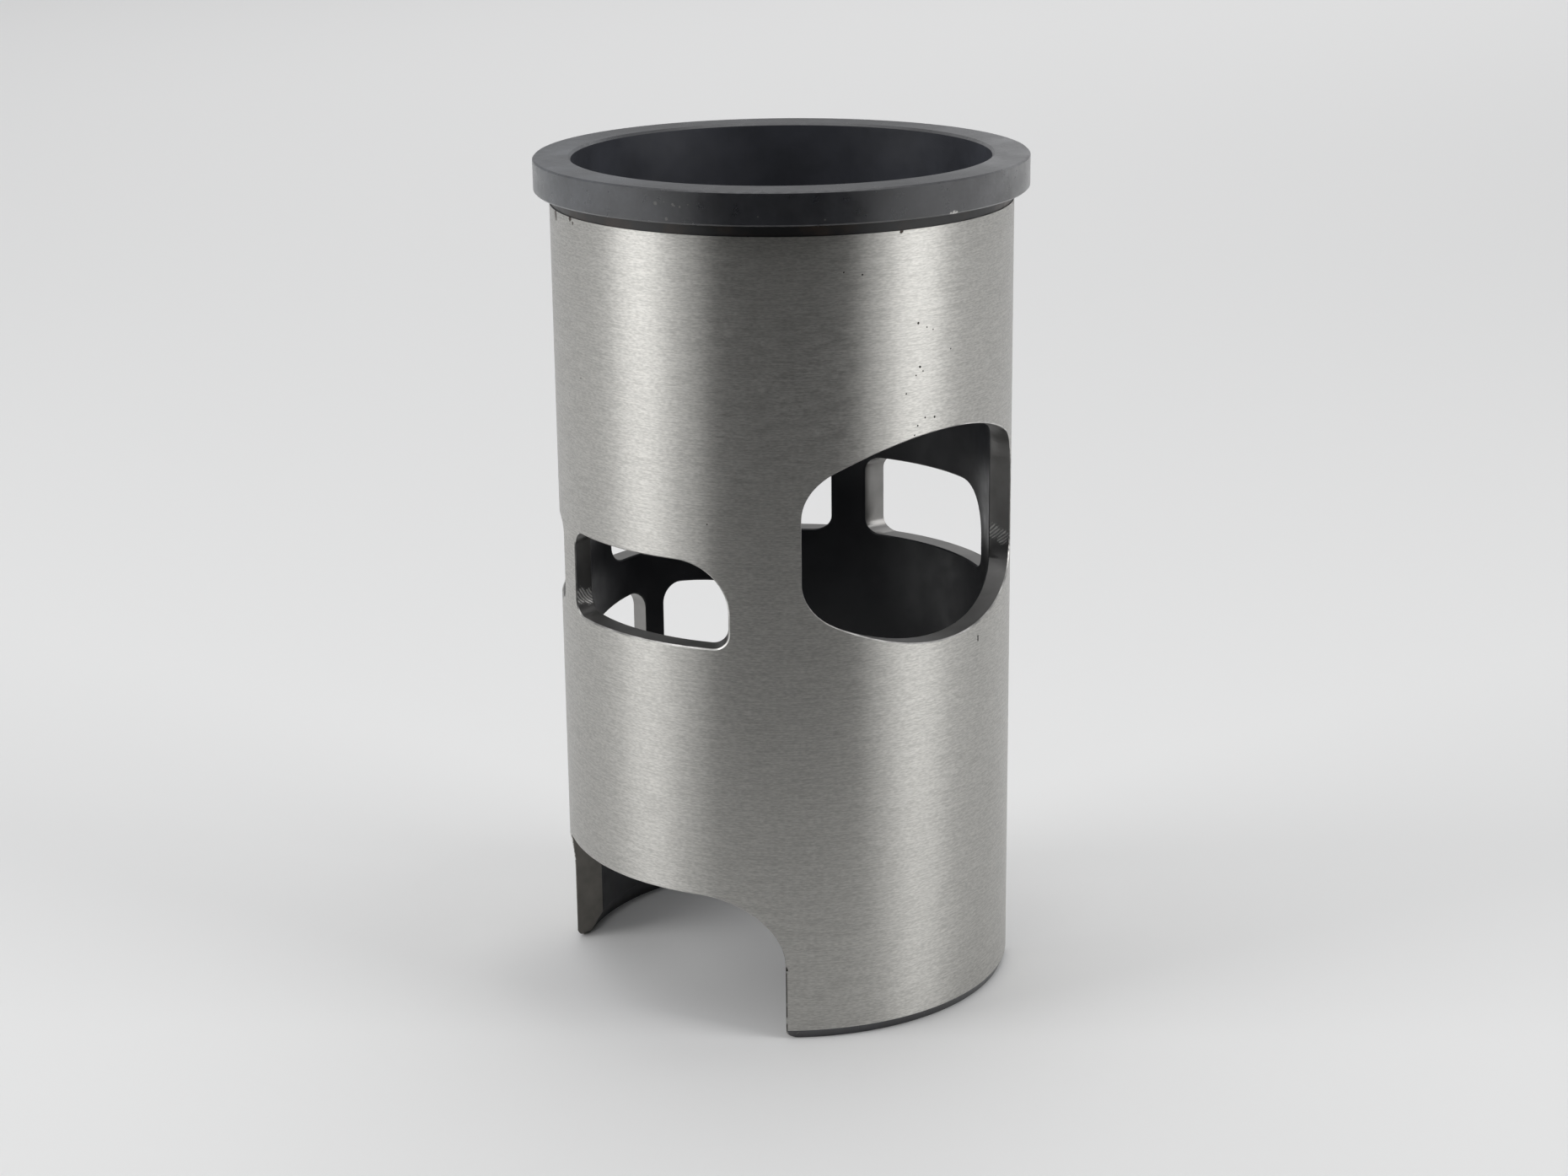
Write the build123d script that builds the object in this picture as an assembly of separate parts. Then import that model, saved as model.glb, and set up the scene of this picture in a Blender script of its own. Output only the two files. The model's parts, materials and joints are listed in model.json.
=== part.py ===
"""Ported liner of a two-stroke cylinder: one iron sleeve with a flange, ports and a notched skirt.

Millimetres. The liner stands on its skirt at Z = 0 with the bore along +Z, and the exhaust port faces -Y.
The ports are mirrored about the plane X = 0. Depths are measured down from the deck, the flange's top face,
and angles run round the bore from the exhaust side to the inlet side.
"""
import os
from math import cos, hypot, isclose, radians, sin

from build123d import *

# Turned sleeve
bore_diameter = 66.0
wall = 3.5
flange_overhang = 2.45
flange_thickness = 5.1
flange_edge = 0.25
mouth_chamfer = 0.4
relief_width = 1.9
relief_depth = 0.2
skirt_chamfer_height = 1.45
skirt_chamfer_depth = 0.6
lead_in_height = 3.5
lead_in_depth = 1.9

# Exhaust port: one wide window with an arched roof and floor, milled straight in from its side.
# The half angle is where its upright walls meet the outside.
exhaust_half_angle = 39.2
exhaust_top = 38.2
exhaust_height = 33.5
exhaust_arch_radius = 40.0
exhaust_corner = 8.0

# Transfer ports: two on each side, with walls that lean towards the exhaust on their way out.
# Each wall has its angle on the bore, and a lean, the angle it has turned through by the outside.
transfer_top = 56.9
transfer_height = 13.6
transfer_corner = 2.5
main_transfer_shoulder = 8.0
main_transfer_front_angle = 58.8
main_transfer_front_lean_angle = 1.7
main_transfer_rear_angle = 112.3
main_transfer_rear_lean_angle = 3.7
rear_transfer_front_angle = 123.0
rear_transfer_front_lean_angle = 4.2
rear_transfer_rear_angle = 145.0
rear_transfer_rear_lean_angle = 3.5

# Boost port, opposite the exhaust, with its top level with the transfer ports'
boost_half_angle = 19.0
boost_height = 14.6
boost_corner = 3.2

# Inlet windows a land below the boost port, with a bridge between them and one arch over both
inlet_half_angle = 37.0
inlet_land = 6.5
inlet_height = 25.0
inlet_arch_radius = 70.0
inlet_bridge = 4.1
inlet_corner = 3.4

# Skirt notches a land below the inlet, milled straight through from side to side.
# The angles are where the notch's two walls meet the outside.
notch_front_angle = 44.5
notch_rear_angle = 139.9
notch_land = 8.3
notch_height = 23.5
notch_corner = 11.0
notch_foot_round = 1.1

# Small chamfer where a port or notch wall meets the bore or the outside
port_edge_break = 0.2

bore_radius = bore_diameter / 2
body_radius = bore_radius + wall
flange_radius = body_radius + flange_overhang
relief_radius = body_radius - relief_depth
relief_end = flange_thickness + relief_width

exhaust_floor = exhaust_top + exhaust_height
transfer_floor = transfer_top + transfer_height
boost_floor = transfer_top + boost_height
inlet_top = boost_floor + inlet_land
inlet_floor = inlet_top + inlet_height
notch_top = inlet_floor + notch_land
length = notch_top + notch_height


def height(depth):
    """Z of a depth below the deck."""
    return length - depth


def around(radius, angle):
    """Plan point at an angle from the exhaust side towards +X."""
    return Vector(radius * sin(radians(angle)), -radius * cos(radians(angle)))


def turned_sleeve():
    """The sleeve as it leaves the lathe."""
    section = Polyline(
        (bore_radius, lead_in_height),
        (bore_radius + lead_in_depth, 0),
        (body_radius - skirt_chamfer_depth, 0),
        (body_radius, skirt_chamfer_height),
        (body_radius, height(relief_end)),
        (relief_radius, height(relief_end)),
        (relief_radius, height(flange_thickness)),
        (flange_radius - flange_edge, height(flange_thickness)),
        (flange_radius, height(flange_thickness - flange_edge)),
        (flange_radius, length - flange_edge),
        (flange_radius - flange_edge, length),
        (bore_radius + mouth_chamfer, length),
        (bore_radius, length - mouth_chamfer),
        close=True,
    )
    return revolve(Plane.XZ * make_face(section), Axis.Z)


def leaning_wall(bore_angle, lean):
    """A port wall's angles on the bore and on the outside."""
    return bore_angle, bore_angle - lean


def wall_run(bore_angle, outside_angle):
    """Plan line along a port wall, run on past the bore and past the outside by the wall's thickness."""
    inner = around(bore_radius, bore_angle)
    outer = around(body_radius, outside_angle)
    run_on = (outer - inner).normalized() * wall
    return inner - run_on, outer + run_on


def port_prism(front, rear, top, floor):
    """Upright cutter between two port walls, from the floor's depth to the top's."""
    front_inner, front_outer = wall_run(*front)
    rear_inner, rear_outer = wall_run(*rear)
    middle_outer = around(body_radius + wall, (front[1] + rear[1]) / 2)
    plan = make_face([
        Line(front_inner, front_outer),
        ThreePointArc(front_outer, middle_outer, rear_outer),
        Line(rear_outer, rear_inner),
        Line(rear_inner, front_inner),
    ])
    return extrude(Pos(0, 0, height(floor)) * plan, floor - top)


def round_corner(cutter, port_wall, depth, radius):
    """Round the cutter's edge that runs along a port wall at a depth."""
    inner, outer = wall_run(*port_wall)
    middle = (inner + outer) / 2
    edge = cutter.edges().sort_by_distance(Vector(middle.X, middle.Y, height(depth)))[0]
    return fillet(edge, radius)


def exhaust_cutter():
    """Rounded window under an arched roof and over a floor arched the other way."""
    half_width = body_radius * sin(radians(exhaust_half_angle))
    window = Pos(0, height(exhaust_floor) + exhaust_height / 2) * Rectangle(2 * half_width, exhaust_height)
    window &= Pos(0, height(exhaust_top) - exhaust_arch_radius) * Circle(exhaust_arch_radius)
    window &= Pos(0, height(exhaust_floor) + exhaust_arch_radius) * Circle(exhaust_arch_radius)
    return extrude(Plane.XZ * fillet(window.vertices(), exhaust_corner), body_radius + wall)


def transfer_cutter(front, rear, shoulder):
    """One transfer port, with a shoulder of its own radius at the top of the wall nearer the exhaust."""
    cutter = port_prism(front, rear, transfer_top, transfer_floor)
    cutter = round_corner(cutter, front, transfer_top, shoulder)
    cutter = round_corner(cutter, front, transfer_floor, transfer_corner)
    cutter = round_corner(cutter, rear, transfer_top, transfer_corner)
    return round_corner(cutter, rear, transfer_floor, transfer_corner)


def towards_inlet(elevation):
    """Cutter from the bore's axis out through the inlet side."""
    return extrude(Plane.XZ * elevation, -(body_radius + wall))


def boost_cutter():
    """Rounded window over the inlet."""
    width = 2 * bore_radius * sin(radians(boost_half_angle))
    window = Pos(0, height(boost_floor) + boost_height / 2) * Rectangle(width, boost_height)
    return towards_inlet(fillet(window.vertices(), boost_corner))


def inlet_cutter():
    """The inlet window on the +X side of the bridge."""
    inner_edge = inlet_bridge / 2
    outer_edge = bore_radius * sin(radians(inlet_half_angle))
    window = Rectangle(outer_edge - inner_edge, inlet_height)
    window = Pos((inner_edge + outer_edge) / 2, height(inlet_floor) + inlet_height / 2) * window
    window &= Pos(0, height(inlet_top) - inlet_arch_radius) * Circle(inlet_arch_radius)
    return towards_inlet(fillet(window.vertices(), inlet_corner))


def notch_cutter():
    """The notch through the +X side of the skirt, with large top corners and rounded feet."""
    front = -body_radius * cos(radians(notch_front_angle))
    rear = -body_radius * cos(radians(notch_rear_angle))
    foot_front = front - notch_foot_round
    foot_rear = rear + notch_foot_round
    top_arch = [
        Line((front, notch_foot_round), (front, notch_height - notch_corner)),
        RadiusArc((front, notch_height - notch_corner), (front + notch_corner, notch_height), notch_corner),
        Line((front + notch_corner, notch_height), (rear - notch_corner, notch_height)),
        RadiusArc((rear - notch_corner, notch_height), (rear, notch_height - notch_corner), notch_corner),
        Line((rear, notch_height - notch_corner), (rear, notch_foot_round)),
    ]
    feet = [
        RadiusArc((rear, notch_foot_round), (foot_rear, 0), -notch_foot_round),
        Line((foot_rear, 0), (foot_front, 0)),
        RadiusArc((foot_front, 0), (front, notch_foot_round), -notch_foot_round),
    ]
    return extrude(Plane.YZ * make_face(top_arch + feet), body_radius + wall)


def ported_liner():
    """The sleeve with every port and notch cut."""
    main_front = leaning_wall(main_transfer_front_angle, main_transfer_front_lean_angle)
    main_rear = leaning_wall(main_transfer_rear_angle, main_transfer_rear_lean_angle)
    rear_front = leaning_wall(rear_transfer_front_angle, rear_transfer_front_lean_angle)
    rear_rear = leaning_wall(rear_transfer_rear_angle, rear_transfer_rear_lean_angle)
    one_side = [
        transfer_cutter(main_front, main_rear, main_transfer_shoulder),
        transfer_cutter(rear_front, rear_rear, transfer_corner),
        inlet_cutter(),
        notch_cutter(),
    ]
    other_side = [mirror(cutter, about=Plane.YZ) for cutter in one_side]
    return turned_sleeve() - [exhaust_cutter(), boost_cutter(), *one_side, *other_side]


def lies_on(edge, radius):
    """Whether an edge runs along the cylinder of that radius."""
    return all(isclose(hypot(point.X, point.Y), radius) for point in (edge @ 0, edge @ 0.5, edge @ 1))


def break_edges(solid):
    """Chamfer the rims of every wall that runs from the bore to the outside."""
    rims = []
    for face in solid.faces():
        inner = [edge for edge in face.edges() if lies_on(edge, bore_radius)]
        outer = [edge for edge in face.edges() if lies_on(edge, body_radius)]
        if inner and outer:
            rims += inner + outer
    return chamfer(rims, port_edge_break)


liner = break_edges(ported_liner())
os.makedirs("parts", exist_ok=True)
export_step(liner, "parts/cylinder_liner.step")
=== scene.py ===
# %% [markdown]
# # A ported cylinder liner
# This is the iron sleeve that a two-stroke's piston runs in. It was turned, bored and notched, blackened
# all over and then ground bright outside so that it fits the barrel, and its ports were milled through
# the wall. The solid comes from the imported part, so this lesson adds what a solid lacks: truly round
# curves, the finishes that each tool left, and a photograph's light.

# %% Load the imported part
import json
import math

import bpy
import numpy as np
from mathutils import Matrix, Vector


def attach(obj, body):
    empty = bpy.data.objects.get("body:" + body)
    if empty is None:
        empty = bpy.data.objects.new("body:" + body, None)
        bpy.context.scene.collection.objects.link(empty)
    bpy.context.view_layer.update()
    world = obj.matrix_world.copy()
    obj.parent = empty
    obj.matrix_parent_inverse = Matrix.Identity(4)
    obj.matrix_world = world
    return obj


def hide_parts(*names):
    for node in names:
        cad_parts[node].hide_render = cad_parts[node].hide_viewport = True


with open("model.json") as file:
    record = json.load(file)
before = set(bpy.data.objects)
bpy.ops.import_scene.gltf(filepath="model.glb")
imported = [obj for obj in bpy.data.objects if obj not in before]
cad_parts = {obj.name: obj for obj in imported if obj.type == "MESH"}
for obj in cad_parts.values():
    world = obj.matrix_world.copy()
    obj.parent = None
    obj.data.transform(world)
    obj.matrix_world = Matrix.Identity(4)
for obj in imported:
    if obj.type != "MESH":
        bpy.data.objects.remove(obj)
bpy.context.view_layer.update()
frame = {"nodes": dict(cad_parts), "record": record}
solid = frame["nodes"]["cylinder_liner"]

# %% [markdown]
# The sizes that matter here are already in the part's record: the bore that holds the piston, the ground
# outside and the flange's rim are its mounts. They could be typed again, but reading them keeps the looks
# right when the part changes. Only two small details have no mount and are named again: the depth of the
# relief under the flange and the top of the skirt's notches.

# %% Read the liner's sizes
millimetre = 0.001
relief_depth = 0.2 * millimetre
notch_top = 23.5 * millimetre
mounts = {mount["name"]: mount for mount in frame["record"]["mounts"]}


def mount_radius(name):
    """Radius of a round mount, in metres."""
    return mounts[name]["dims"]["r_mm"] * millimetre


def mount_ends(name):
    """Heights at which a round mount starts and ends."""
    half = mounts[name]["dims"]["length_mm"] * millimetre / 2
    middle = mounts[name]["pos_m"][2]
    return middle - half, middle + half


bore_radius = mount_radius("bore")
body_radius = mount_radius("outside")
flange_radius = mount_radius("flange_rim")
relief_radius = body_radius - relief_depth
lead_in_top = mount_ends("bore")[0]
relief_bottom = mount_ends("outside")[1]
deck_height = mounts["deck"]["pos_m"][2]
print("radii of bore, outside and flange:", bore_radius, body_radius, flange_radius)

# %% [markdown]
# Every look below is a tree of nodes. It could be wired by hand in the editor, but a script can be read,
# repeated and changed. One helper adds a node and fills its inputs, each from a plain value or from
# another node's output. The others stand for the few nodes that are used most.

# %% Helpers for nodes
def fill(tree, node, inputs):
    """Fill a node's inputs by name or number, each with a value or a link."""
    for name, value in inputs.items():
        if isinstance(value, bpy.types.NodeSocket):
            tree.links.new(value, node.inputs[name])
        else:
            node.inputs[name].default_value = value
    return node


def add_node(tree, kind, inputs, **settings):
    """Add a node, set its properties and fill its inputs."""
    node = tree.nodes.new(kind)
    for name, value in settings.items():
        setattr(node, name, value)
    return fill(tree, node, inputs)


def math_node(tree, operation, *values):
    """Output of a maths node on up to three values."""
    return add_node(tree, "ShaderNodeMath", dict(enumerate(values)), operation=operation).outputs[0]


def vector_node(tree, operation, output, *values, **named):
    """One output of a vector maths node."""
    inputs = {**dict(enumerate(values)), **named}
    return add_node(tree, "ShaderNodeVectorMath", inputs, operation=operation).outputs[output]


def axes_of(tree, vector):
    """A vector's three numbers, by the names X, Y and Z."""
    return add_node(tree, "ShaderNodeSeparateXYZ", {0: vector}).outputs


def remap(tree, value, from_range, to_range, smooth=False):
    """A value moved from one range to another."""
    inputs = {"Value": value, "From Min": from_range[0], "From Max": from_range[1],
              "To Min": to_range[0], "To Max": to_range[1]}
    kind = "SMOOTHSTEP" if smooth else "LINEAR"
    return add_node(tree, "ShaderNodeMapRange", inputs, interpolation_type=kind).outputs["Result"]


mask_range = (0.0, 1.0)
print("node helpers ready")

# %% [markdown]
# An effect that several finishes share, such as tool lines, is written once as a group with named sockets
# and then placed wherever it is wanted. The same helper starts the geometry rule further down.

# %% Helper for node groups
value_socket = "NodeSocketFloat"
vector_socket = "NodeSocketVector"


def new_group(name, kind, inputs, outputs):
    """Start a node group with named sockets and return it with its two end nodes' sockets."""
    group = bpy.data.node_groups.new(name, kind)
    for socket_name, socket_type in inputs.items():
        group.interface.new_socket(socket_name, in_out="INPUT", socket_type=socket_type)
    for socket_name, socket_type in outputs.items():
        group.interface.new_socket(socket_name, in_out="OUTPUT", socket_type=socket_type)
    return group, group.nodes.new("NodeGroupInput").outputs, group.nodes.new("NodeGroupOutput").inputs


print("group helper ready")

# %% [markdown]
# A grinding wheel leaves short fine lines round the sleeve. They could come from a wrapped pattern, but
# that shows a seam where its ends meet. Noise read from the object's own coordinates has no seam, and it
# turns into lines when it is squeezed in height and stretched across.

# %% Tool lines
lines_group, given, result = new_group(
    "tool_lines", "ShaderNodeTree",
    {"Place": vector_socket, "Per Metre Across": value_socket, "Per Metre Up": value_socket},
    {"Line": value_socket})
stretch = add_node(lines_group, "ShaderNodeCombineXYZ", {
    "X": given["Per Metre Across"], "Y": given["Per Metre Across"], "Z": given["Per Metre Up"]}).outputs[0]
stretched = vector_node(lines_group, "MULTIPLY", 0, given["Place"], stretch)
noise = add_node(lines_group, "ShaderNodeTexNoise", {"Vector": stretched, "Scale": 1.0, "Detail": 1.0})
lines_group.links.new(noise.outputs["Fac"], result["Line"])
print("effect:", lines_group.name)

# %% [markdown]
# Blackening never comes out even, and the tone and the gloss of the coat drift from place to place. A few
# layers of noise, moved to the range that a finish asks for, give that cloudiness. Most of what a noise
# node puts out lies in a narrow range round its middle, so that is the range to move from.

# %% Cloudy tone
noise_middle = 0.5
noise_range = (0.3, 0.7)
cloud_group, given, result = new_group(
    "cloudy_tone", "ShaderNodeTree",
    {"Place": vector_socket, "Per Metre": value_socket, "Low": value_socket, "High": value_socket},
    {"Tone": value_socket})
noise = add_node(cloud_group, "ShaderNodeTexNoise",
                 {"Vector": given["Place"], "Scale": given["Per Metre"], "Detail": 4.0, "Roughness": 0.55})
tone = remap(cloud_group, noise.outputs["Fac"], noise_range, (given["Low"], given["High"]))
cloud_group.links.new(tone, result["Tone"])
print("effect:", cloud_group.name)

# %% [markdown]
# Pits, chips and stains are single marks at chosen places. Each could be cut into the mesh, but they are
# far smaller than its faces. So each is a mask that is full near a centre and fades out towards a radius,
# with noise added to the distance so that no mark is a clean disc.

# %% Ragged spot
full_share = 0.6
ragged_per_metre = 3500.0
spot_group, given, result = new_group(
    "ragged_spot", "ShaderNodeTree",
    {"Place": vector_socket, "Centre": vector_socket, "Radius": value_socket},
    {"Mask": value_socket})
noise = add_node(spot_group, "ShaderNodeTexNoise",
                 {"Vector": given["Place"], "Scale": ragged_per_metre, "Detail": 2.0})
uneven = math_node(spot_group, "SUBTRACT", noise.outputs["Fac"], noise_middle)
distance = vector_node(spot_group, "DISTANCE", "Value", given["Place"], given["Centre"])
ragged = math_node(spot_group, "MULTIPLY_ADD", uneven, given["Radius"], distance)
full_radius = math_node(spot_group, "MULTIPLY", given["Radius"], full_share)
spot = remap(spot_group, ragged, (given["Radius"], full_radius), mask_range, smooth=True)
spot_group.links.new(spot, result["Mask"])
print("effect:", spot_group.name)

# %% [markdown]
# A finish uses an effect by placing its group and filling the group's inputs. These functions do that in
# one line each. A spot is given by its angle round the sleeve and its height, as a maker would mark it
# out, so it sits on the surface from every side.

# %% Place the effects
def effect(tree, group, **inputs):
    """A shared effect's output, with its inputs filled."""
    node = tree.nodes.new("ShaderNodeGroup")
    node.node_tree = group
    named = {name.replace("_", " ").title(): value for name, value in inputs.items()}
    return fill(tree, node, named).outputs[0]


def lines(tree, place, across, up):
    """Tool lines, so many to the metre across and up."""
    return effect(tree, lines_group, place=place, per_metre_across=across, per_metre_up=up)


def cloud(tree, place, per_metre, low, high):
    """Cloudy tone between two values."""
    return effect(tree, cloud_group, place=place, per_metre=per_metre, low=low, high=high)


def on_sleeve(radius, angle, height):
    """Point on a round surface, at an angle in degrees from the exhaust side and a height in millimetres."""
    turn = math.radians(angle)
    return radius * math.sin(turn), -radius * math.cos(turn), height * millimetre


def spots(tree, place, radius, marks):
    """Mask of several ragged spots, each given by its angle, height and size in millimetres."""
    mask = 0.0
    for angle, height, size in marks:
        spot = effect(tree, spot_group, place=place, centre=on_sleeve(radius, angle, height),
                      radius=size * millimetre)
        mask = math_node(tree, "MAXIMUM", spot, mask)
    return mask


print("effects can be placed")

# %% [markdown]
# A finish is one material with one shader for metal or coat. The effects drive its colour, gloss and
# relief, so the last helpers make a colour lighter or darker, let one colour give way to another, and
# raise the surface.

# %% Start a finish
def new_finish(name):
    """A material, its tree, its shader and the object's own coordinates."""
    finish = bpy.data.materials.new(name)
    finish.use_nodes = True
    tree = finish.node_tree
    place = tree.nodes.new("ShaderNodeTexCoord").outputs["Object"]
    return finish, tree, tree.nodes["Principled BSDF"], place


def toned(tree, colour, tone):
    """A colour made lighter or darker by a varying tone."""
    return vector_node(tree, "SCALE", 0, colour, Scale=tone)


def blend(tree, mask, below, over):
    """A colour that gives way to another where a mask is one."""
    mix = add_node(tree, "ShaderNodeMix", {"Factor": mask}, data_type="RGBA")
    sockets = {socket.identifier: socket for socket in (*mix.inputs, *mix.outputs)}
    for name, value in (("A_Color", below), ("B_Color", over)):
        if isinstance(value, bpy.types.NodeSocket):
            tree.links.new(value, sockets[name])
        else:
            sockets[name].default_value = (*value, 1.0)
    return sockets["Result_Color"]


def raise_by(tree, height, distance):
    """Normal of a surface that is raised by a height."""
    return add_node(tree, "ShaderNodeBump", {"Height": height, "Distance": distance}).outputs["Normal"]


print("finishes can be made")

# %% [markdown]
# The outside is ground by a wheel that ran round it, and its grain has short lines, longer ones across
# them and a coarser drift of tone. One noise can't be all three, so three are added. The metal is also
# painted a little darker towards the skirt, as painted shade where less light reaches its lower part.

# %% Ground outside: grain
ground, tree, shader, place = new_finish("ground_outside")
axes = axes_of(tree, place)
long_share = 0.55
fine_tones = (0.33, 0.61)
coarse_tones = (0.47, 0.53)
painted_shade_heights = (0.03, 0.11)
painted_shade_tones = (0.9, 1.0)

short = lines(tree, place, across=1300, up=6000)
long = lines(tree, place, across=200, up=5000)
fine = math_node(tree, "MULTIPLY_ADD", math_node(tree, "SUBTRACT", long, noise_middle), long_share, short)
coarse = lines(tree, place, across=350, up=1500)
tone = math_node(tree, "ADD", remap(tree, fine, noise_range, fine_tones),
                 remap(tree, coarse, noise_range, coarse_tones))
# Painted shade: the metal's tone is darkened towards the skirt.
tone = math_node(tree, "MULTIPLY", tone, remap(tree, axes["Z"], painted_shade_heights, painted_shade_tones))
print("grain on", ground.name)

# %% [markdown]
# The iron has a few pits, most of them above the exhaust port, a nick below that port, and drops of old
# residue under the flange. Each is a ragged spot, or a short row of them where the mark is long.

# %% Ground outside: pits, nick and residue
pits = [(-9.7, 113.6, 0.24), (-7.2, 112.8, 0.18), (-5.3, 112.3, 0.16), (-9.2, 106.9, 0.24),
        (-8.3, 106.2, 0.15), (-10.3, 105.7, 0.18), (0.5, 108.8, 0.17), (-13.1, 103.1, 0.17),
        (-4.7, 98.8, 0.22), (-7.6, 99.0, 0.18), (-9.8, 97.9, 0.18), (-10.7, 96.5, 0.18),
        (-24.5, 121.8, 0.18), (-29.0, 122.3, 0.15), (-101.8, 103.2, 0.15), (-33.0, 91.0, 0.14),
        (-62.0, 84.0, 0.14)]
nick = [(12.3, height, 0.24) for height in (60.8, 61.02, 61.24, 61.46)]
burr_end = [(-44.25, 12.15, 0.28), (-44.05, 11.85, 0.28)]
residue = [(-115.7, 127.3, 0.9), (-115.4, 126.7, 0.55), (-105.1, 127.6, 0.6), (-103.6, 127.0, 0.3),
           (36.9, 127.6, 0.5), (-14.4, 127.7, 0.4)]
dark_spots = spots(tree, place, body_radius, pits + nick + burr_end)
brown_spots = spots(tree, place, body_radius, residue)
print("marks:", len(pits), "pits and", len(residue), "drops")

# %% [markdown]
# The cutter that made the notch left a dark burr on its upright edge. It is a thin line that breaks off
# and starts again, so it is three masks multiplied: near the edge, below the burr's end, and in lengths.

# %% Ground outside: burr on the notch's edge
notch_edge = -26.15 * millimetre
burr_fade = (0.18 * millimetre, 0.08 * millimetre)
burr_top_fade = (11.8 * millimetre, 11.2 * millimetre)
burr_gaps = (0.36, 0.5)

from_edge = math_node(tree, "ABSOLUTE", math_node(tree, "SUBTRACT", axes["Y"], notch_edge))
at_edge = remap(tree, from_edge, burr_fade, mask_range, smooth=True)
at_height = remap(tree, axes["Z"], burr_top_fade, mask_range)
in_lengths = remap(tree, lines(tree, place, across=0, up=450), burr_gaps, mask_range, smooth=True)
burr = math_node(tree, "MULTIPLY", math_node(tree, "MULTIPLY", at_edge, at_height), in_lengths)
dark_spots = math_node(tree, "MAXIMUM", dark_spots, burr)
print("burr below", burr_top_fade[0], "m")

# %% [markdown]
# The grain scatters light up and down but hardly sideways, so the soft lamps at either side stretch into
# upright bands. Thousands of modelled scratches could do that. Anisotropy does it in one number, turned a
# quarter from the tangent that runs round the axis.

# %% Ground outside: metal
bright_iron = (0.62, 0.61, 0.58)
dark_dirt = (0.03, 0.028, 0.025)
brown_residue = (0.035, 0.018, 0.010)
ground_roughness = (0.41, 0.48)
grain_depth = 3e-6

colour = blend(tree, dark_spots, toned(tree, bright_iron, tone), dark_dirt)
colour = blend(tree, brown_spots, colour, brown_residue)
fill(tree, shader, {
    "Base Color": colour,
    "Metallic": math_node(tree, "SUBTRACT", 1.0, brown_spots),
    "Roughness": remap(tree, coarse, noise_range, ground_roughness),
    "Normal": raise_by(tree, fine, grain_depth),
    "Tangent": add_node(tree, "ShaderNodeTangent", {}, direction_type="RADIAL", axis="Z").outputs[0],
    "Anisotropic": 0.85,
    "Anisotropic Rotation": 0.25})
print("finish:", ground.name)

# %% [markdown]
# The flange keeps its black phosphate, a thin crystal coat that looks slate grey where it mirrors the
# light at a low angle and nearly black elsewhere. Its colour is painted pale at one side and a little
# paler and bluer at the other, as painted light. Handling has left light specks on the flange's side and
# a chip on its lower edge. The painted light is a soft mask round a place on the rim, and the specks and
# the chip are spots.

# %% Black phosphate: painted light and wear
phosphate, tree, shader, place = new_finish("black_phosphate")
specks = [(-71.5, 132.6, 0.34), (-68.9, 130.4, 0.3), (-69.4, 132.9, 0.12), (-67.3, 132.6, 0.24),
          (-66.9, 132.4, 0.16), (-65.6, 132.3, 0.18), (-63.7, 132.7, 0.12), (-48.3, 131.2, 0.15),
          (-34.0, 130.6, 0.15), (-112.0, 132.0, 0.2)]
chips = [(-2.4, 129.9, 0.45), (-1.6, 129.85, 0.35), (-3.3, 129.85, 0.3)]
speck_strength = 0.35
chip_strength = 0.8


def painted_light_side(angle, reach, strength):
    """Mask of painted light round a place on the flange's upper edge, from a far to a near distance."""
    lit_place = on_sleeve(flange_radius, angle, deck_height / millimetre)
    from_place = vector_node(tree, "DISTANCE", "Value", place, lit_place)
    return remap(tree, from_place, reach, (0.0, strength), smooth=True)


speck_mask = math_node(tree, "MULTIPLY", spots(tree, place, flange_radius, specks), speck_strength)
chip_mask = math_node(tree, "MULTIPLY", spots(tree, place, flange_radius, chips), chip_strength)
# The pale side and the blue side are painted light on the coat.
pale_light_mask = painted_light_side(angle=46.8, reach=(0.042, 0.004), strength=0.95)
blue_light_mask = painted_light_side(angle=-122, reach=(0.042, 0.01), strength=0.4)
print("wear:", len(specks), "specks and", len(chips), "spots for the chip")

# %% [markdown]
# The coat itself is cloudy at two scales and slightly grainy. Its crystals mirror more than paint would,
# and a high index of refraction gives that without making it a metal.

# %% Black phosphate: coat
black_coat = (0.014, 0.0151, 0.019)
painted_pale_light = (0.19, 0.191, 0.196)
painted_blue_light = (0.178, 0.19, 0.207)
speck_grey = (0.25, 0.24, 0.22)
chip_iron = (0.60, 0.59, 0.56)
crystal_height = 3e-6

tone = math_node(tree, "MULTIPLY", cloud(tree, place, per_metre=130, low=0.65, high=1.4),
                 cloud(tree, place, per_metre=1500, low=0.85, high=1.15))
# Painted light: the coat is blended to paler colours at its two sides.
colour = blend(tree, pale_light_mask, black_coat, painted_pale_light)
colour = toned(tree, blend(tree, blue_light_mask, colour, painted_blue_light), tone)
colour = blend(tree, speck_mask, colour, speck_grey)
colour = blend(tree, chip_mask, colour, chip_iron)
crystals = cloud(tree, place, per_metre=9000, low=0.0, high=1.0)
fill(tree, shader, {
    "Base Color": colour,
    "Roughness": cloud(tree, place, per_metre=500, low=0.26, high=0.36),
    "Normal": raise_by(tree, crystals, crystal_height),
    "IOR": 1.85})
print("finish:", phosphate.name)

# %% [markdown]
# The bore has the same coat. Near its mouth it is a mottled blue grey, and lower down its colour is
# painted darker, as painted shade where less light reaches down the bore. A tone that falls with height
# does that.

# %% Blackened bore
bored, tree, shader, place = new_finish("blackened_bore")
bore_grey = (0.052, 0.055, 0.066)
bore_shade_heights = (0.07, 0.125)
bore_shade_tones = (0.25, 1.0)
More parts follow.
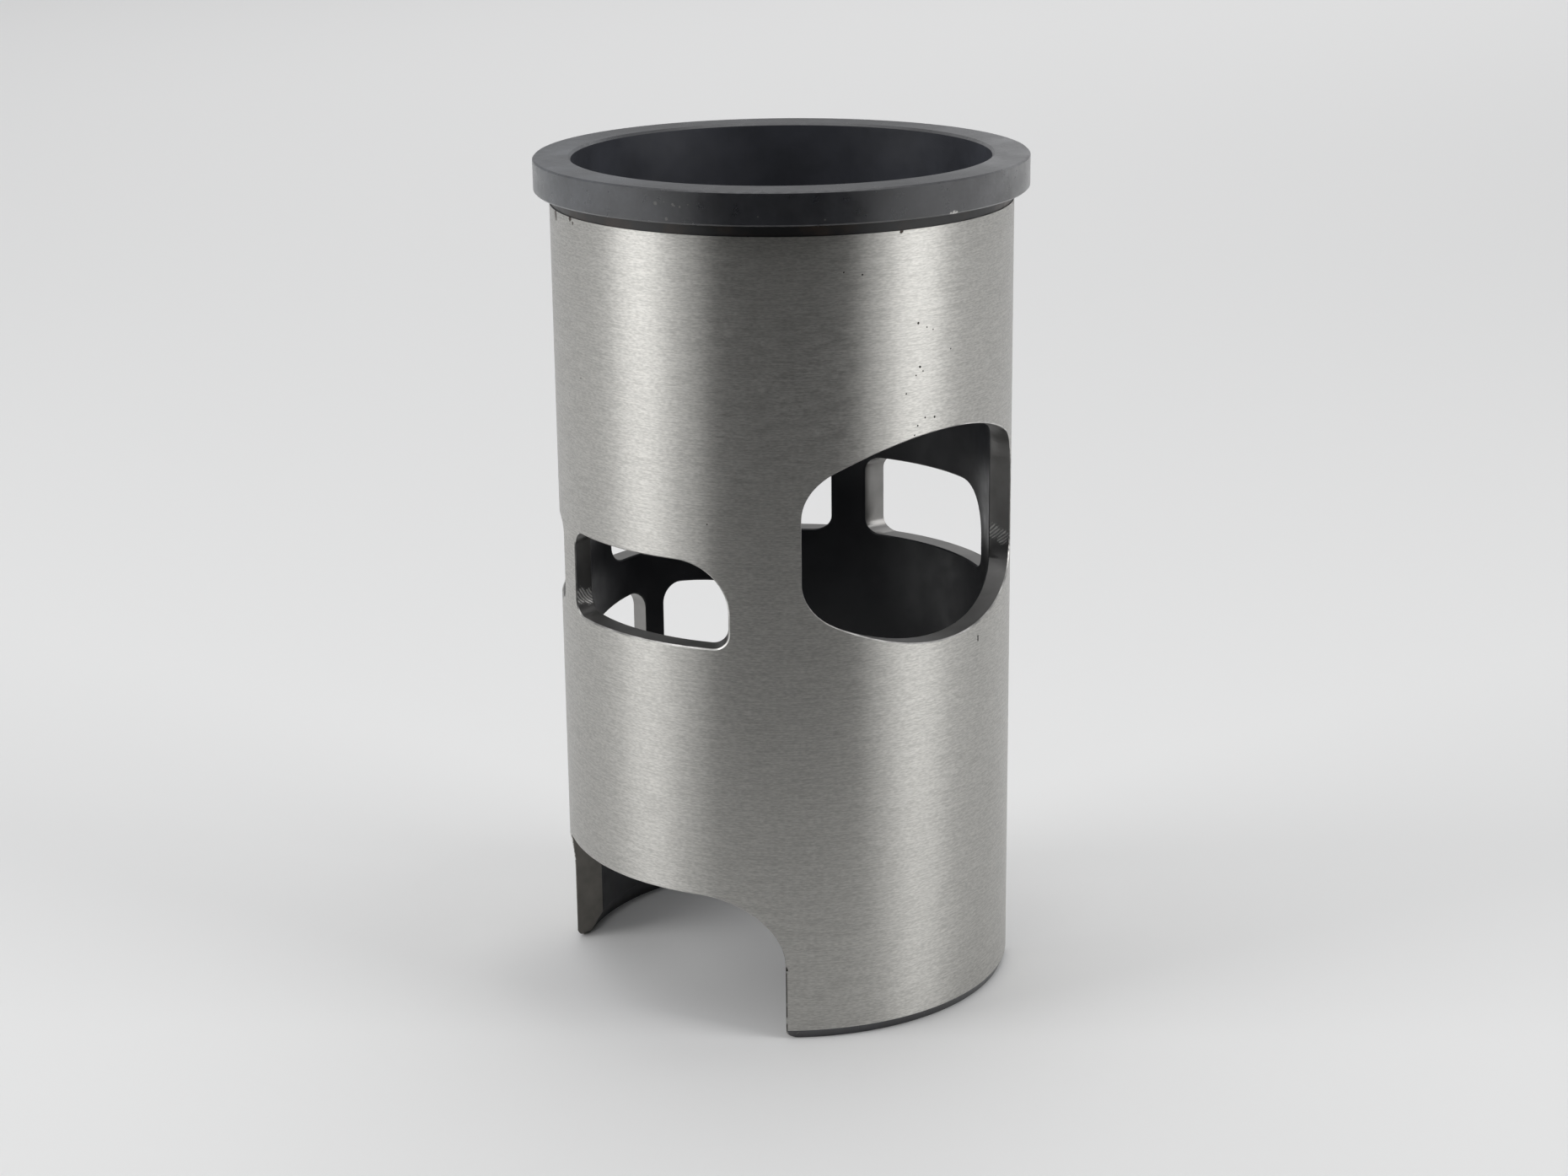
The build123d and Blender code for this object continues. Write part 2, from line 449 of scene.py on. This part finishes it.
# Painted shade: the bore's tone is darkened lower down.
painted_bore_shade = remap(tree, axes_of(tree, place)["Z"], bore_shade_heights, bore_shade_tones, smooth=True)
tone = math_node(tree, "MULTIPLY", cloud(tree, place, per_metre=70, low=0.7, high=1.35), painted_bore_shade)
fill(tree, shader, {
    "Base Color": toned(tree, bore_grey, tone),
    "Roughness": cloud(tree, place, per_metre=250, low=0.32, high=0.46)})
print("finish:", bored.name)

# %% [markdown]
# The relief is a shallow groove for the grinding wheel to run out into. It lies in the flange's shade
# and holds old oil, and its colour is painted blacker still, partly for the oil and partly as painted
# shade under the flange, with brown where the oil has dried. A cloudy mask that starts below nothing
# leaves most of it black.

# %% Oily relief with painted shade
oily_shaded, tree, shader, place = new_finish("oily_relief")
oil_and_shade_black = (0.007, 0.007, 0.008)
dried_brown = (0.035, 0.020, 0.012)
dried = cloud(tree, place, per_metre=170, low=-0.9, high=1.0)
# Painted shade: the near-black colour is partly the flange's shade and partly oil.
fill(tree, shader, {
    "Base Color": blend(tree, dried, oil_and_shade_black, dried_brown),
    "Roughness": cloud(tree, place, per_metre=700, low=0.3, high=0.44),
    "IOR": 1.6})
print("finish:", oily_shaded.name)

# %% [markdown]
# A small milling cutter went round each port and left a satin wall, so it is as dark or as bright as what
# it mirrors. Where the cutter dwelt, it left a patch of slanting marks, and the patch is also painted
# bright in its colour, as a painted highlight where it catches the light. A wave texture makes the marks,
# and spots at two depths in the wall keep them to one patch in each of two ports.

# %% Milled port walls
milled, tree, shader, place = new_finish("milled_wall")
milled_iron = (0.285, 0.28, 0.272)
dwell_size = 1.5
dwell_inset = 1.0 * millimetre
dwell_dullness = 0.1
painted_highlight_brightness = 2.2
mark_depth = 4e-5

waves = {"Vector": place, "Scale": 800.0, "Distortion": 2.0, "Detail": 1.0}
marks = add_node(tree, "ShaderNodeTexWave", waves, bands_direction="DIAGONAL").outputs["Fac"]
dwell_and_highlight = math_node(tree, "MAXIMUM",
                  spots(tree, place, bore_radius + dwell_inset,
                        [(-111.3, 66.3, dwell_size), (42.8, 73.4, dwell_size)]),
                  spots(tree, place, body_radius - dwell_inset,
                        [(-109.6, 66.9, dwell_size), (40.6, 72.8, dwell_size)]))
marks_and_highlight = math_node(tree, "MULTIPLY", marks, dwell_and_highlight)
# Painted highlight: the marks' patch is made bright in the wall's colour.
tone = math_node(tree, "MULTIPLY_ADD", marks_and_highlight, painted_highlight_brightness,
                 cloud(tree, place, per_metre=110, low=0.75, high=1.1))
satin = cloud(tree, place, per_metre=90, low=0.33, high=0.4)
fill(tree, shader, {
    "Base Color": toned(tree, milled_iron, tone),
    "Metallic": 0.95,
    "Roughness": math_node(tree, "MULTIPLY_ADD", dwell_and_highlight, dwell_dullness, satin),
    "Normal": raise_by(tree, marks_and_highlight, mark_depth)})
print("finish:", milled.name)

# %% [markdown]
# The notches in the skirt were cut before the liner was blackened, so their walls are a dull olive black.
# A plain coat with a little cloudiness is enough, because these walls are narrow and in the shade.

# %% Blackened notch walls
notched, tree, shader, place = new_finish("blackened_notch")
olive_black = (0.172, 0.161, 0.141)
fill(tree, shader, {
    "Base Color": toned(tree, olive_black, cloud(tree, place, per_metre=300, low=0.8, high=1.2)),
    "Roughness": cloud(tree, place, per_metre=900, low=0.4, high=0.5),
    "IOR": 1.6})
print("finish:", notched.name)

# %% [markdown]
# Where a port meets the outside, its edge was broken by hand and is bare, bright iron, in lengths. The
# solid has that small chamfer, so the edge needs only a finish of its own.

# %% Bare edges
bare, tree, shader, place = new_finish("bare_edge")
edge_iron = (0.82, 0.81, 0.78)
fill(tree, shader, {
    "Base Color": toned(tree, edge_iron, cloud(tree, place, per_metre=300, low=0.4, high=1.15)),
    "Metallic": 1.0,
    "Roughness": 0.35})
print("finish:", bare.name)

# %% [markdown]
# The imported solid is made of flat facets. It could be rebuilt here as a smooth form, but then it would no
# longer be the part. The rule that mends the facets is short, so it is a Geometry Nodes tree: join the
# loose triangles, split each one, and push every point that lies almost on a turned radius out to that
# radius.

# %% Geometry rule: true the sleeve
geometry_socket = "NodeSocketGeometry"
whole_socket = "NodeSocketInt"
rule_values = {
    "Join Within": 2e-6, "Facet Sag": 5e-5, "Edge Break": 2e-4,
    "Bore Radius": bore_radius, "Outside Radius": body_radius, "Relief Radius": relief_radius,
    "Lead In Top": lead_in_top, "Notch Top": notch_top, "Relief Bottom": relief_bottom}
rule, given, result = new_group(
    "true_and_finish_sleeve", "GeometryNodeTree",
    {"Sleeve": geometry_socket, "Splits": whole_socket, **{name: value_socket for name in rule_values}},
    {"Sleeve": geometry_socket})
joined = add_node(rule, "GeometryNodeMergeByDistance",
                  {"Geometry": given["Sleeve"], "Distance": given["Join Within"]}).outputs[0]
split = add_node(rule, "GeometryNodeSubdivideMesh", {"Mesh": joined, "Level": given["Splits"]}).outputs[0]

where = rule.nodes.new("GeometryNodeInputPosition").outputs[0]
up = axes_of(rule, where)["Z"]
in_plan = vector_node(rule, "MULTIPLY", 0, where, (1, 1, 0))
radius = vector_node(rule, "LENGTH", "Value", in_plan)
outward = vector_node(rule, "NORMALIZE", 0, in_plan)


def on_radius(name):
    """Whether a place lies almost on one of the turned radii."""
    return math_node(rule, "COMPARE", radius, given[name], given["Facet Sag"])


true_radius = radius
for name in ("Bore Radius", "Outside Radius", "Relief Radius"):
    choice = {"Switch": on_radius(name), "False": true_radius, "True": given[name]}
    true_radius = add_node(rule, "GeometryNodeSwitch", choice, input_type="FLOAT").outputs[0]
push = vector_node(rule, "SCALE", 0, outward, Scale=math_node(rule, "SUBTRACT", true_radius, radius))
trued = add_node(rule, "GeometryNodeSetPosition", {"Geometry": split, "Offset": push}).outputs[0]
smooth = add_node(rule, "GeometryNodeSetShadeSmooth", {"Geometry": trued, "Shade Smooth": True}).outputs[0]
print("rule so far:", len(rule.nodes), "nodes")

# %% [markdown]
# Each tool reached only some of the faces, so a face's finish follows from where it lies and how it looks
# out. Faces could be picked by number, but numbers change with every pack. These helpers put such
# conditions into the rule: a condition is one where it holds and nought elsewhere.

# %% Geometry rule: conditions
facing = rule.nodes.new("GeometryNodeInputNormal").outputs[0]


def looks_along(direction):
    """How squarely a face looks along a direction, either way."""
    return math_node(rule, "ABSOLUTE", vector_node(rule, "DOT_PRODUCT", "Value", facing, direction))


def above(value, limit):
    """Whether a value is greater than a limit."""
    return math_node(rule, "GREATER_THAN", value, limit)


def both(*conditions):
    """Whether every condition holds."""
    joint = conditions[0]
    for condition in conditions[1:]:
        joint = math_node(rule, "MULTIPLY", joint, condition)
    return joint


def either(first, second):
    """Whether one of two conditions holds."""
    return math_node(rule, "MAXIMUM", first, second)


looks_out = looks_along(outward)
looks_aside = looks_along(vector_node(rule, "CROSS_PRODUCT", 0, (0, 0, 1), outward))
looks_up = looks_along((0, 0, 1))
below_relief = above(math_node(rule, "SUBTRACT", given["Relief Bottom"], given["Facet Sag"]), up)
below_notch_top = above(math_node(rule, "ADD", given["Notch Top"], given["Facet Sag"]), up)
by_outside = above(radius, math_node(rule, "SUBTRACT", given["Outside Radius"], given["Edge Break"]))
by_bore = above(math_node(rule, "ADD", given["Bore Radius"], given["Edge Break"]), radius)
print("rule with conditions:", len(rule.nodes), "nodes")

# %% [markdown]
# Now the faces can be told apart. The turned faces look straight out, the cut walls look up, down or
# aside, and a broken edge is a cut face that is aslant and lies close to the outside or the bore.

# %% Geometry rule: tell the faces apart
square_on = 0.97
aslant = 0.35
sideways = 0.2
tilted_up = 0.3

is_ground = both(on_radius("Outside Radius"), above(looks_out, square_on), below_relief)
is_relief = both(on_radius("Relief Radius"), above(looks_out, square_on), above(up, given["Relief Bottom"]))
is_bore = both(on_radius("Bore Radius"), above(looks_out, square_on))
across_wall = math_node(rule, "ADD", given["Bore Radius"], given["Outside Radius"])
middle_of_wall = math_node(rule, "MULTIPLY", across_wall, 0.5)
is_lead_in = both(above(given["Lead In Top"], up), above(middle_of_wall, radius))
is_ledge = both(above(looks_up, tilted_up), above(up, given["Lead In Top"]))
is_cut = both(either(is_ledge, above(looks_aside, sideways)), below_relief)
is_notch = both(is_cut, below_notch_top)
is_rim = both(is_cut, above(looks_out, aslant), by_outside)
is_bright_rim = both(is_rim, either(above(looks_up, tilted_up), above(up, given["Notch Top"])))
is_inner_rim = both(is_cut, above(looks_out, aslant), by_bore)
print("rule with faces:", len(rule.nodes), "nodes")

# %% [markdown]
# A later finish covers an earlier one, as on the real liner: the coat is everywhere first, then the
# grinding, the oil and the cuts come over it.

# %% Geometry rule: set the finishes
finish_order = [(phosphate, True), (ground, is_ground), (oily_shaded, is_relief), (bored, is_lead_in),
                (milled, is_cut), (notched, is_notch), (bare, is_bright_rim),
                (bored, either(is_bore, is_inner_rim))]
dressed = add_node(rule, "GeometryNodeRealizeInstances", {"Geometry": smooth}).outputs[0]
for finish, chosen in finish_order:
    dressed = add_node(rule, "GeometryNodeSetMaterial",
                       {"Geometry": dressed, "Selection": chosen, "Material": finish}).outputs[0]
rule.links.new(dressed, result["Sleeve"])
print("whole rule:", len(rule.nodes), "nodes")

# %% [markdown]
# The rule runs once on a copy of the solid's mesh, because the solid itself must stay as it is. A
# modifier's inputs are set by their identifiers, and the evaluated result becomes a plain mesh that can
# be exported.

# %% Make the liner
facets = bpy.data.meshes.new("liner_facets")
facets.from_pydata([vertex.co for vertex in solid.data.vertices], [],
                   [face.vertices[:] for face in solid.data.polygons])
worked = bpy.data.objects.new("liner_facets", facets)
bpy.context.collection.objects.link(worked)
modifier = worked.modifiers.new("sleeve", "NODES")
modifier.node_group = rule
modifier_values = {"Splits": 1, **rule_values}
for item in rule.interface.items_tree:
    if item.name in modifier_values:
        modifier[item.identifier] = modifier_values[item.name]

evaluated = worked.evaluated_get(bpy.context.evaluated_depsgraph_get())
liner_mesh = bpy.data.meshes.new_from_object(evaluated)
liner_mesh.name = "liner"
worked.modifiers.remove(modifier)
bpy.data.objects.remove(worked)
liner = bpy.data.objects.new("liner", liner_mesh)
bpy.context.collection.objects.link(liner)
print("liner:", len(liner_mesh.polygons), "faces in", [finish.name for finish in liner_mesh.materials])

# %% [markdown]
# Light shows every facet that the eye would miss, so the normals are written exactly. Blender's own
# smoothing comes first and stops at sharp edges, which keeps the milled walls' edges crisp. Here the mesh
# is read into arrays, where the turned faces' normals can be worked out all at once.

# %% Read the mesh
sharp_from = math.radians(30)
liner_mesh.set_sharp_from_angle(angle=sharp_from)
face_count = len(liner_mesh.polygons)


def read_vectors(items, name):
    """A vector attribute of mesh elements as an array with a row each."""
    values = np.empty(len(items) * 3)
    items.foreach_get(name, values)
    return values.reshape(-1, 3)


def read_whole(items, name):
    """A whole-number attribute of mesh elements as an array."""
    values = np.empty(len(items), dtype=np.int64)
    items.foreach_get(name, values)
    return values


centres = read_vectors(liner_mesh.polygons, "center")
face_normals = read_vectors(liner_mesh.polygons, "normal")
corner_points = read_vectors(liner_mesh.vertices, "co")[read_whole(liner_mesh.loops, "vertex_index")]
corner_face = np.repeat(np.arange(face_count), read_whole(liner_mesh.polygons, "loop_total"))
normals = read_vectors(liner_mesh.corner_normals, "vector")
print("read", face_count, "faces and", len(normals), "corners")

# %% [markdown]
# A face that the lathe made looks straight out from the axis, tilted by its own slope, and never aside.
# Faces inside the wall are the milled ones, even where they happen to look the same way. With its normals
# exact, the liner stands for the solid and rides on its body.

# %% Exact normals
wall_skin = 0.15 * millimetre
aside_limit = 0.03


def out_from_axis(points):
    """Unit vectors straight out from the axis, and the radii."""
    radii = np.hypot(points[:, 0], points[:, 1])
    return np.column_stack([points[:, 0] / radii, points[:, 1] / radii, np.zeros(len(points))]), radii


face_out, face_radii = out_from_axis(centres)
aside = face_normals[:, 1] * face_out[:, 0] - face_normals[:, 0] * face_out[:, 1]
inside_wall = ((face_radii > bore_radius + wall_skin) & (face_radii < body_radius - wall_skin)
               & (centres[:, 2] > lead_in_top) & (centres[:, 2] < relief_bottom))
turned = (np.abs(aside) < aside_limit) & ~inside_wall
slope = face_normals[corner_face, 2]
sign = np.sign(np.sum(face_normals * face_out, axis=1))[corner_face]
exact = out_from_axis(corner_points)[0] * (sign * np.sqrt(np.clip(1 - slope**2, 0, 1)))[:, None]
exact[:, 2] = slope
picked = turned[corner_face]
normals[picked] = exact[picked]
liner_mesh.normals_split_custom_set(normals.tolist())
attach(liner, "root")
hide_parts("cylinder_liner")
print("turned faces:", int(turned.sum()), "of", face_count)

# %% [markdown]
# The camera stands where the photographer stood: to the left of the exhaust port, above the deck, looking
# down. It could be aimed with a tracking constraint, but a turn, a tilt and a roll about the bore's axis
# say plainly how it was held.

# %% Camera
camera_turn = math.radians(43.2)
camera_distance = 0.4646
camera_height = 0.2035
camera_tilt = 0.29275
camera_pan = 0.00068
camera_roll = -0.01092

towards_camera = Vector((-math.sin(camera_turn), -math.cos(camera_turn), 0))
camera_right = Vector((math.cos(camera_turn), -math.sin(camera_turn), 0))
camera_data = bpy.data.cameras.new("camera")
camera_data.lens = 68.098
camera_data.sensor_width = 36
camera = bpy.data.objects.new("camera", camera_data)
bpy.context.collection.objects.link(camera)
camera.matrix_world = (
    Matrix.Translation(towards_camera * camera_distance + Vector((0, 0, camera_height)))
    @ Matrix.Rotation(camera_pan - camera_turn, 4, "Z")
    @ Matrix.Rotation(math.pi / 2 - camera_tilt, 4, "X")
    @ Matrix.Rotation(camera_roll, 4, "Z"))
bpy.context.scene.camera = camera
print("camera at", [round(value, 4) for value in camera.matrix_world.translation])

# %% [markdown]
# The liner stands on a pale sheet, wide enough to fill the view. It is matt, so it keeps the liner's
# shadow and shows no shine of its own.

# %% Sheet
def stage_piece(name, points, faces, colour):
    """A plain matt piece of the set."""
    mesh = bpy.data.meshes.new(name)
    mesh.from_pydata(points, [], faces)
    piece = bpy.data.objects.new(name, mesh)
    bpy.context.collection.objects.link(piece)
    finish, tree, shader, _ = new_finish(name)
    fill(tree, shader, {"Base Color": (*colour, 1.0), "Roughness": 1.0, "Specular IOR Level": 0.0})
    mesh.materials.append(finish)
    return piece


reach = 8.0
pale_paper = (0.85, 0.85, 0.843)
sheet_points = [(-reach, -reach, 0), (reach, -reach, 0), (reach, reach, 0), (-reach, reach, 0)]
sheet = stage_piece("sheet", sheet_points, [(0, 1, 2, 3)], pale_paper)
print("stage:", sheet.name)

# %% [markdown]
# The side that the camera is on is dark, as it is in a room with the photographer in it, and that gives
# the ground metal its dark middle. A dark card does this here: it lies in front of the liner and rises
# towards the camera. Only the metal sees it, so it takes no light from the sheet.

# %% Dark card
card_grey = (0.04, 0.04, 0.04)
card_section = [(0.135, 0.0004), (0.35, 0.0004), (0.42, 0.12), (0.44, 0.6)]
card_bearings = np.linspace(-38, 38, 13)


def bearing_point(bearing, distance, height):
    """Point at a bearing, in degrees from the camera's side towards its right."""
    turn = math.radians(bearing)
    point = (towards_camera * math.cos(turn) + camera_right * math.sin(turn)) * distance
    point.z = height
    return point


across = len(card_bearings)
card_points = [bearing_point(bearing, distance, height)
               for distance, height in card_section for bearing in card_bearings]
card_faces = [(first, first + 1, first + across + 1, first + across)
              for row in range(len(card_section) - 1)
              for first in range(row * across, row * across + across - 1)]
card = stage_piece("dark_card", card_points, card_faces, card_grey)
card.visible_camera = False
card.visible_shadow = False
card.visible_diffuse = False
print("card:", len(card_faces), "faces")

# %% [markdown]
# A soft panel at either side makes the two bright bands on the metal, a third lights the sheet from
# above, and a fourth keeps the sheet pale far behind the liner. Small lamps would make hard lines instead
# of bands, so all four are wide, and a panel's energy is worked out from its brightness and its size.

# %% Lamps
def soft_panel(name, stand, aim, size, brightness):
    """An even panel of light, aimed at a point, that the camera doesn't see."""
    data = bpy.data.lights.new(name, "AREA")
    data.shape = "RECTANGLE"
    data.size, data.size_y = size
    data.energy = brightness * math.pi * data.size * data.size_y
    panel = bpy.data.objects.new(name, data)
    bpy.context.collection.objects.link(panel)
    turned_to_aim = (aim - stand).to_track_quat("-Z", "Y").to_matrix().to_4x4()
    panel.matrix_world = Matrix.Translation(stand) @ turned_to_aim
    panel.visible_camera = False


liner_middle = Vector((0, 0, deck_height / 2))
far_sheet = bearing_point(bearing=178, distance=2.2, height=0)
side_size = (0.38, 0.55)
side_brightness = 3.1
soft_panel("left_panel", bearing_point(bearing=-74, distance=0.75, height=0.42),
           aim=liner_middle, size=side_size, brightness=side_brightness)
soft_panel("right_panel", bearing_point(bearing=69, distance=0.75, height=0.42),
           aim=liner_middle, size=side_size, brightness=side_brightness)
soft_panel("top_panel", bearing_point(bearing=180, distance=0.25, height=1.1),
           aim=liner_middle, size=(0.9, 0.9), brightness=0.7)
soft_panel("far_panel", bearing_point(bearing=165, distance=1.7, height=1.3),
           aim=far_sheet, size=(2.4, 1.2), brightness=1.1)
print("panels:", [light.name for light in bpy.data.lights])

# %% [markdown]
# The room itself is grey, dark on the photographer's side and bright overhead. It could be built as
# walls, but a world that changes with direction does the same with a few nodes.

# %% Room
room_white = (0.99, 0.995, 1.015, 1.0)
dark_side_edge = (0.1, 0.7)
wall_brightness = (0.37, 0.03)
ceiling_edge = (0.7, 0.95)
ceiling_brightness = 1.0

world = bpy.data.worlds.new("room")
world.use_nodes = True
bpy.context.scene.world = world
tree = world.node_tree
direction = tree.nodes.new("ShaderNodeTexCoord").outputs["Generated"]
dark_side = vector_node(tree, "DOT_PRODUCT", "Value", direction, towards_camera)
walls = remap(tree, dark_side, dark_side_edge, wall_brightness, smooth=True)
overhead = remap(tree, axes_of(tree, direction)["Z"], ceiling_edge, mask_range, smooth=True)
brightness = add_node(tree, "ShaderNodeMix", {0: overhead, 2: walls, 3: ceiling_brightness}).outputs[0]
fill(tree, tree.nodes["Background"], {"Color": room_white, "Strength": brightness})
bpy.context.scene.view_settings.view_transform = "Standard"
print("room lit")

# %% [markdown]

# %% Finish
print("the liner is built")
